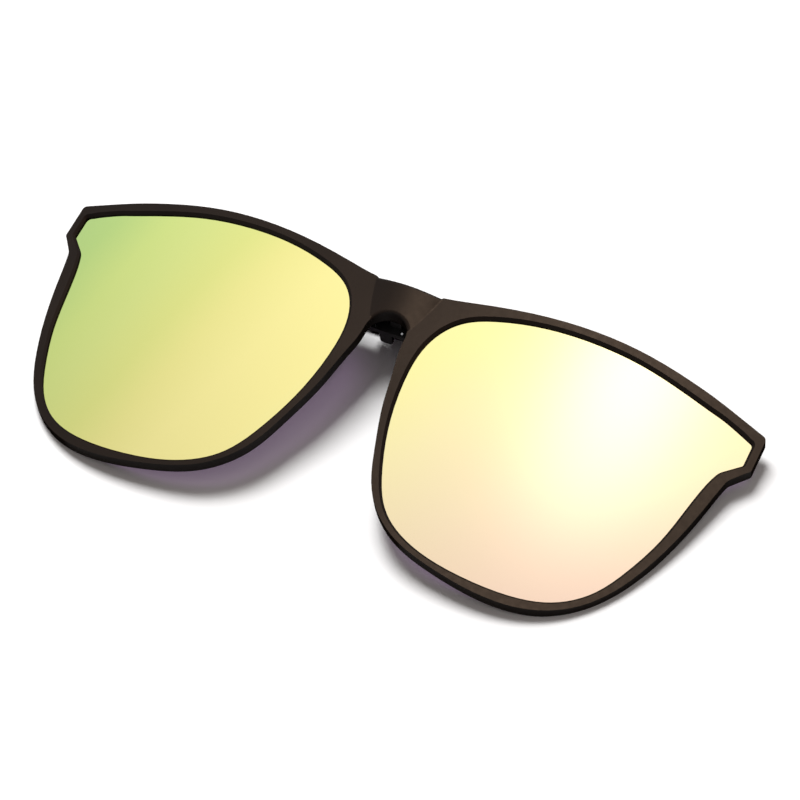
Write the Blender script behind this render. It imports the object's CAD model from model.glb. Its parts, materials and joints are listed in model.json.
import json
import math

import bpy
from mathutils import Matrix, Vector

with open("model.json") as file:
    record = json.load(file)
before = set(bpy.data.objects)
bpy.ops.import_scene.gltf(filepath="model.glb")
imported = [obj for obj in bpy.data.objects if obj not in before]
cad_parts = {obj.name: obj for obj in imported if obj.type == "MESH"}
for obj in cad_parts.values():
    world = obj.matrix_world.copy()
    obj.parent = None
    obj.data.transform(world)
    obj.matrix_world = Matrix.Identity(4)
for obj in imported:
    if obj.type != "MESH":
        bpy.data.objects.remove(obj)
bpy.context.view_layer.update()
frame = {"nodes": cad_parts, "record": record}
NODES = frame["nodes"]
PARTS = frame["record"]["subparts"]

# Where the camera stands: its right, up and back directions, and its place
CAM_RIGHT = Vector((0.90082, 0.08260, 0.42627))
CAM_UP = Vector((-0.31535, -0.55036, 0.77308))
CAM_BACK = Vector((0.29846, -0.83083, -0.46972))
CAM_PLACE = Vector((0.174636, -0.472018, -0.270314))
LENS_MM = 135.0
SENSOR_MM = 36.0

# The table top: a plane behind the object, which lies on its back
FLOOR_POINT = Vector((0.0, 0.0042, 0.0175))
FLOOR_TILT = math.radians(9.0)
FLOOR_UP = Vector((0.0, -math.cos(FLOOR_TILT), math.sin(FLOOR_TILT)))
FLOOR_HALF = 2.0
FLOOR_WHITE = (0.86, 0.86, 0.86)

# Soft boxes, all this far from the object. The key is up and to the left.
LIGHT_AWAY = 1.2
KEY_WAY = Vector((-0.34, -0.80, 0.48))
KEY_SIZE = 0.6
KEY_POWER = 19.0
# A warm one that only the matt parts get; it puts the soft shine on the front
SHINE_WAY = Vector((0.07, -0.88, 0.49))
SHINE_SIZE = 0.45
SHINE_POWER = 21.0
SHINE_COLOUR = (1.0, 0.70, 0.49)
# One that only the mirrors see, as a soft bright patch in the right lens
PATCH_X, PATCH_Z = 0.05, 0.515
PATCH_WIDE, PATCH_TALL = 0.115, 0.045
PATCH_GAIN = 0.95
# As the mirrors see it the room gets brighter upwards and falls dark at the far right
ROOM_RISE = 3.0
ROOM_LEVEL_Z = 0.47
ROOM_RANGE = (0.55, 1.10)
SIDE_FADE = (0.24, 0.60)
SIDE_DARK = 0.12
# The light it throws on matt surfaces is dim and a little warm
ROOM_LIGHT = 0.28
ROOM_TINT = (1.0, 0.91, 0.87)

# Mirror coat by how far the view is off square: 0 is square on, 1 is edge on
COAT_DRIFT = 0.004
COAT_COLOURS = [
    (0.000, (0.90, 0.40, 0.52)),
    (0.060, (0.97, 0.57, 0.58)),
    (0.107, (1.00, 0.75, 0.565)),
    (0.125, (1.00, 0.82, 0.54)),
    (0.146, (1.00, 0.88, 0.49)),
    (0.166, (0.99, 0.92, 0.41)),
    (0.191, (0.99, 0.885, 0.365)),
    (0.215, (0.95, 0.86, 0.35)),
    (0.237, (0.865, 0.81, 0.305)),
    (0.257, (0.75, 0.77, 0.265)),
    (0.280, (0.68, 0.755, 0.265)),
    (0.300, (0.63, 0.74, 0.250)),
    (0.328, (0.49, 0.665, 0.235)),
    (0.500, (0.20, 0.46, 0.28)),
    (0.800, (0.30, 0.28, 0.42)),
]
DRIFT_SCALE = 45.0
COAT_ROUGH = 0.06
# The side without the coat: its gloss, and what a ray through the lens is tinted by
BACK_GLOSS = (0.85, 0.82, 0.95)
BACK_ROUGH = 0.05
LENS_INDEX = 1.58
BACK_TINT = (0.34, 0.30, 0.38)
INSIDE_TINT = (0.42, 0.38, 0.46)
SHADOW_TINT = (0.28, 0.22, 0.30)

# How a matt surface loses its sheen between these as it turns edge on, and its fine grain
SHEEN_FADE = (0.30, 0.72)
GRAIN = 900.0
GRAIN_DEPTH = 0.00002
GRAIN_STRENGTH = 0.35
MOTTLE = 60.0
ROUGH_SWING = 0.08
NYLON_DARK = (0.0046, 0.0033, 0.0027)
NYLON_LIGHT = (0.0066, 0.0049, 0.0040)


# ---- Node helpers ------------------------------------------------------------

def new_material(name):
    mat = bpy.data.materials.new(name)
    mat.use_nodes = True
    mat.node_tree.nodes.clear()
    return mat, mat.node_tree


def finish_material(tree, shader):
    tree.links.new(shader, tree.nodes.new("ShaderNodeOutputMaterial").inputs["Surface"])


def node(tree, kind, **inputs):
    n = tree.nodes.new("ShaderNode" + kind)
    for key, value in inputs.items():
        n.inputs[key.replace("_", " ")].default_value = value
    return n


def calc(tree, kind, *terms):
    """Math node on numbers and sockets."""
    m = tree.nodes.new("ShaderNodeMath")
    m.operation = kind
    for socket, term in zip(m.inputs, terms):
        if isinstance(term, (int, float)):
            socket.default_value = term
        else:
            tree.links.new(term, socket)
    return m.outputs["Value"]


def spread(tree, source, inside, outside, curve="LINEAR"):
    """Map one range of a socket onto another."""
    m = tree.nodes.new("ShaderNodeMapRange")
    m.interpolation_type = curve
    for socket, value in zip(("From Min", "From Max", "To Min", "To Max"), (*inside, *outside)):
        m.inputs[socket].default_value = value
    tree.links.new(source, m.inputs["Value"])
    return m.outputs["Result"]


def ramp(tree, source, stops):
    r = tree.nodes.new("ShaderNodeValToRGB")
    els = r.color_ramp.elements
    while len(els) < len(stops):
        els.new(0.5)
    for el, (pos, col) in zip(els, stops):
        el.position = pos
        el.color = (*col, 1.0)
    tree.links.new(source, r.inputs["Fac"])
    return r.outputs["Color"]


def object_noise(tree, scale, detail):
    coord = tree.nodes.new("ShaderNodeTexCoord")
    noise = node(tree, "TexNoise", Scale=scale, Detail=detail)
    tree.links.new(coord.outputs["Object"], noise.inputs["Vector"])
    return noise.outputs["Fac"]


def edge_on(tree):
    return node(tree, "LayerWeight", Blend=0.5).outputs["Facing"]


def mixed(tree, fac, first, second):
    m = tree.nodes.new("ShaderNodeMixShader")
    for socket, source in zip(m.inputs, (fac, first, second)):
        tree.links.new(source, socket)
    return m.outputs["Shader"]


def clear(tree, colour):
    return node(tree, "BsdfTransparent", Color=(*colour, 1.0)).outputs["BSDF"]


# ---- Materials ---------------------------------------------------------------

def grained(name, dark, light, rough, metallic=0.0, specular=0.5):
    """Solid with a fine procedural grain in colour, gloss and surface."""
    mat, tree = new_material(name)
    shader = node(tree, "BsdfPrincipled", Metallic=metallic)
    fine = object_noise(tree, GRAIN, 3.0)
    mottle = object_noise(tree, MOTTLE, 2.0)
    bumped = node(tree, "Bump", Strength=GRAIN_STRENGTH, Distance=GRAIN_DEPTH)
    tree.links.new(fine, bumped.inputs["Height"])
    for socket, source in (
        ("Base Color", ramp(tree, mottle, [(0.35, dark), (0.65, light)])),
        ("Roughness", spread(tree, fine, (0, 1), (rough - ROUGH_SWING, rough + ROUGH_SWING))),
        ("Specular IOR Level", spread(tree, edge_on(tree), SHEEN_FADE, (specular, 0.0))),
        ("Normal", bumped.outputs["Normal"]),
    ):
        tree.links.new(source, shader.inputs[socket])
    finish_material(tree, shader.outputs["BSDF"])
    return mat


def mirror_lens(name):
    """Tinted lens with a thin mirror coat on its front, which turns from pink through gold to green
    as it is seen more edge on. From behind it is a dark clear tint."""
    mat, tree = new_material(name)
    drift = spread(tree, object_noise(tree, DRIFT_SCALE, 1.0), (0, 1), (-COAT_DRIFT, COAT_DRIFT))
    coat = node(tree, "BsdfGlossy", Roughness=COAT_ROUGH)
    tree.links.new(ramp(tree, calc(tree, "ADD", edge_on(tree), drift), COAT_COLOURS), coat.inputs["Color"])
    gloss = node(tree, "BsdfGlossy", Roughness=BACK_ROUGH, Color=(*BACK_GLOSS, 1.0))
    fresnel = node(tree, "Fresnel", IOR=LENS_INDEX)
    back = mixed(tree, fresnel.outputs["Fac"], clear(tree, BACK_TINT), gloss.outputs["BSDF"])
    # The coat is on the front only: the side whose own normal points along -Y
    coord = tree.nodes.new("ShaderNodeTexCoord")
    apart = tree.nodes.new("ShaderNodeSeparateXYZ")
    tree.links.new(coord.outputs["Normal"], apart.inputs["Vector"])
    face = mixed(tree, calc(tree, "LESS_THAN", apart.outputs["Y"], -0.5), back, coat.outputs["BSDF"])
    # A ray already inside, or light on its way through, only meets the tint
    geometry = tree.nodes.new("ShaderNodeNewGeometry")
    face = mixed(tree, geometry.outputs["Backfacing"], face, clear(tree, INSIDE_TINT))
    path = tree.nodes.new("ShaderNodeLightPath")
    face = mixed(tree, path.outputs["Is Shadow Ray"], face, clear(tree, SHADOW_TINT))
    finish_material(tree, face)
    return mat


MATERIALS = {
    "frame_nylon": grained("frame_nylon", NYLON_DARK, NYLON_LIGHT, 0.46, specular=0.09),
    "mirror_lens": mirror_lens("mirror_lens"),
    "jaw_metal": grained("jaw_metal", (0.006, 0.0055, 0.0055), (0.010, 0.009, 0.009), 0.40, specular=0.3),
    "black_steel": grained("black_steel", (0.012, 0.012, 0.013), (0.020, 0.020, 0.022), 0.34, metallic=0.4),
    "dark_steel": grained("dark_steel", (0.12, 0.12, 0.13), (0.18, 0.18, 0.19), 0.30, metallic=1.0),
    "bright_steel": grained("bright_steel", (0.50, 0.50, 0.52), (0.62, 0.62, 0.64), 0.24, metallic=1.0),
    "spring_steel": grained("spring_steel", (0.42, 0.42, 0.44), (0.55, 0.55, 0.57), 0.26, metallic=1.0),
    "silicone": grained("silicone", (0.012, 0.012, 0.013), (0.018, 0.018, 0.020), 0.60, specular=0.3),
    "grip_rubber": grained("grip_rubber", (0.009, 0.009, 0.009), (0.015, 0.015, 0.015), 0.66, specular=0.25),
}

for part in PARTS:
    mesh = NODES[part["node"]].data
    mesh.materials.clear()
    mesh.materials.append(MATERIALS[part["material_slot"]])


# ---- Stage: table top, lights and camera -------------------------------------

def put(name, data):
    obj = bpy.data.objects.new(name, data)
    bpy.context.scene.collection.objects.link(obj)
    return obj


def standing(right, up, back, place):
    """Matrix of something whose own axes point right, up and back, at a place."""
    m = Matrix.Identity(4)
    for column, axis in enumerate((right, up, back, place)):
        for row in range(3):
            m[row][column] = axis[row]
    return m


def table_top():
    """Pale table top behind the object. Rays that come from behind pass through it."""
    side = Vector((FLOOR_HALF, 0, 0))
    other = FLOOR_UP.cross(side)
    corners = [FLOOR_POINT + side * a + other * b for a, b in ((-1, -1), (1, -1), (1, 1), (-1, 1))]
    mesh = bpy.data.meshes.new("floor")
    mesh.from_pydata(corners, [], [(0, 1, 2, 3)])
    mat, tree = new_material("table_top")
    geometry = tree.nodes.new("ShaderNodeNewGeometry")
    face = node(tree, "BsdfPrincipled", Base_Color=(*FLOOR_WHITE, 1.0), Roughness=0.9, Specular_IOR_Level=0.0)
    seen = mixed(tree, geometry.outputs["Backfacing"], face.outputs["BSDF"], clear(tree, (1, 1, 1)))
    finish_material(tree, seen)
    mesh.materials.append(mat)
    put("floor", mesh)


def soft_box(name, way, size, power, colour=(1, 1, 1)):
    """Square light that faces the origin from the way given."""
    light = bpy.data.lights.new(name, "AREA")
    light.size = size
    light.energy = power
    light.color = colour
    obj = put(name, light)
    back = way.normalized()
    right = back.cross(Vector((0, 0, 1))).normalized()
    obj.matrix_world = standing(right, back.cross(right), back, back * LIGHT_AWAY)
    return obj


def studio_lights():
    key = soft_box("key", KEY_WAY, KEY_SIZE, KEY_POWER)
    key.visible_glossy = False
    shine = soft_box("shine", SHINE_WAY, SHINE_SIZE, SHINE_POWER, SHINE_COLOUR)
    matt_parts = bpy.data.collections.new("matt_parts")
    for part in PARTS:
        if part["material_slot"] != "mirror_lens":
            matt_parts.objects.link(NODES[part["node"]])
    shine.light_linking.receiver_collection = matt_parts


def studio_world():
    world = bpy.data.worlds.new("studio")
    world.use_nodes = True
    tree = world.node_tree
    coord = tree.nodes.new("ShaderNodeTexCoord")
    way = tree.nodes.new("ShaderNodeSeparateXYZ")
    tree.links.new(coord.outputs["Generated"], way.inputs["Vector"])
    x, y, z = (way.outputs[axis] for axis in "XYZ")
    # Patch
    across = calc(tree, "DIVIDE", calc(tree, "SUBTRACT", x, PATCH_X), PATCH_WIDE)
    along = calc(tree, "DIVIDE", calc(tree, "SUBTRACT", z, PATCH_Z), PATCH_TALL)
    off = calc(tree, "ADD", calc(tree, "MULTIPLY", across, across), calc(tree, "MULTIPLY", along, along))
    patch = calc(tree, "EXPONENT", calc(tree, "MULTIPLY", off, -1.0))
    patch = calc(tree, "MULTIPLY", patch, calc(tree, "LESS_THAN", y, 0.0))
    # Room as the mirrors see it
    rise = calc(tree, "MULTIPLY_ADD", calc(tree, "SUBTRACT", z, ROOM_LEVEL_Z), ROOM_RISE, 1.0)
    rise = calc(tree, "MINIMUM", calc(tree, "MAXIMUM", rise, ROOM_RANGE[0]), ROOM_RANGE[1])
    fade = spread(tree, x, SIDE_FADE, (1.0, SIDE_DARK), "SMOOTHSTEP")
    mirrored = calc(tree, "MULTIPLY", calc(tree, "MULTIPLY_ADD", patch, PATCH_GAIN, rise), fade)
    # Room as matt surfaces and the camera see it
    path = tree.nodes.new("ShaderNodeLightPath")
    glossy = path.outputs["Is Glossy Ray"]
    diffuse = path.outputs["Is Diffuse Ray"]
    plain = calc(tree, "MULTIPLY_ADD", diffuse, ROOM_LIGHT - 1.0, 1.0)
    plain = calc(tree, "MULTIPLY", calc(tree, "SUBTRACT", 1.0, glossy), plain)
    back = tree.nodes["Background"]
    tree.links.new(ramp(tree, diffuse, [(0.0, (1, 1, 1)), (1.0, ROOM_TINT)]), back.inputs["Color"])
    tree.links.new(calc(tree, "MULTIPLY_ADD", glossy, mirrored, plain), back.inputs["Strength"])
    bpy.context.scene.world = world


def photo_camera():
    data = bpy.data.cameras.new("camera")
    data.sensor_width = SENSOR_MM
    data.lens = LENS_MM
    data.clip_start = 0.01
    camera = put("camera", data)
    camera.matrix_world = standing(CAM_RIGHT, CAM_UP, CAM_BACK, CAM_PLACE)
    bpy.context.scene.camera = camera


table_top()
studio_lights()
studio_world()
photo_camera()
bpy.context.scene.view_settings.view_transform = "Standard"
